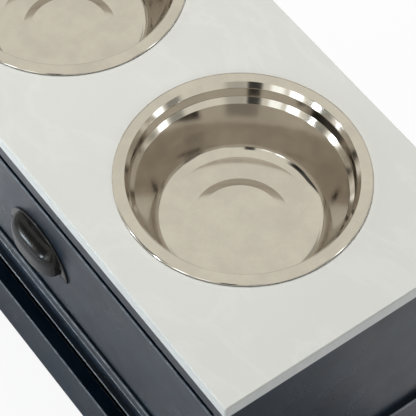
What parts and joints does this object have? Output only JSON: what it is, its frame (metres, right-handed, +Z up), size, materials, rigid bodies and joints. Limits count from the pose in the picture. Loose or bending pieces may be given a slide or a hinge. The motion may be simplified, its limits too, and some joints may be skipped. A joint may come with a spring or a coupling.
{
  "type": "elevated dog feeder",
  "caption": "Raised pet feeder: stone-look top with drop-in steel bowls over a drawer with a cup pull and an open storage shelf behind a low lip.",
  "frame": {"origin": "on the floor under the middle of the top panel", "axes": "+X to the right seen from the drawer's side, along the length; +Y to the back, the drawer faces -Y; +Z up"},
  "size_m": [0.6, 0.278, 0.3904],
  "materials": {
    "stone_top": "satin off-white with faint pale marbling",
    "bowl_steel": "polished stainless steel",
    "black_board": "satin black paint on board",
    "inner_board": "matt charcoal facing on board",
    "beech": "bare beech",
    "zinc": "zinc plated",
    "runner_plastic": "moulded grey plastic",
    "pull_bronze": "satin bronze-black",
    "pad": "matt"
  },
  "bodies": {
    "cabinet": {"top_panel": "stone_top", "front_apron": "black_board", "rear_apron": "black_board", "side_panel_left": "black_board", "side_panel_right": "black_board", "back_panel": "inner_board", "case_bottom": "black_board", "mid_rail": "black_board", "base_top": "black_board", "base_side_left": "black_board", "base_side_right": "black_board", "base_back": "black_board", "shelf_board": "inner_board", "shelf_lip": "black_board", "foot_pads": "pad", "corner_blocks": "beech", "block_screws": "zinc", "cam_bolts": "zinc", "cam_locks": "zinc", "dowels": "beech", "base_studs": "zinc", "back_screws": "zinc", "runner_left": "runner_plastic", "runner_right": "runner_plastic", "runner_screws": "zinc"},
    "drawer": {"drawer_front": "black_board", "drawer_side_left": "inner_board", "drawer_side_right": "inner_board", "drawer_back": "inner_board", "drawer_floor": "inner_board", "drawer_dowels": "beech", "drawer_screws": "zinc", "cup_pull": "pull_bronze", "pull_screws": "zinc"},
    "bowl_left": {"bowl_left": "bowl_steel"},
    "bowl_right": {"bowl_right": "bowl_steel"}
  },
  "joints": [
    {"name": "drawer_slide", "type": "slide", "parent": "cabinet", "child": "drawer", "axis": [0, -1, 0], "range_m": [0, 0.16]},
    {"name": "bowl_left_lift", "type": "slide", "parent": "cabinet", "child": "bowl_left", "axis": [0, 0, 1], "range_m": [0, 0.08]},
    {"name": "bowl_right_lift", "type": "slide", "parent": "cabinet", "child": "bowl_right", "axis": [0, 0, 1], "range_m": [0, 0.08]}
  ]
}
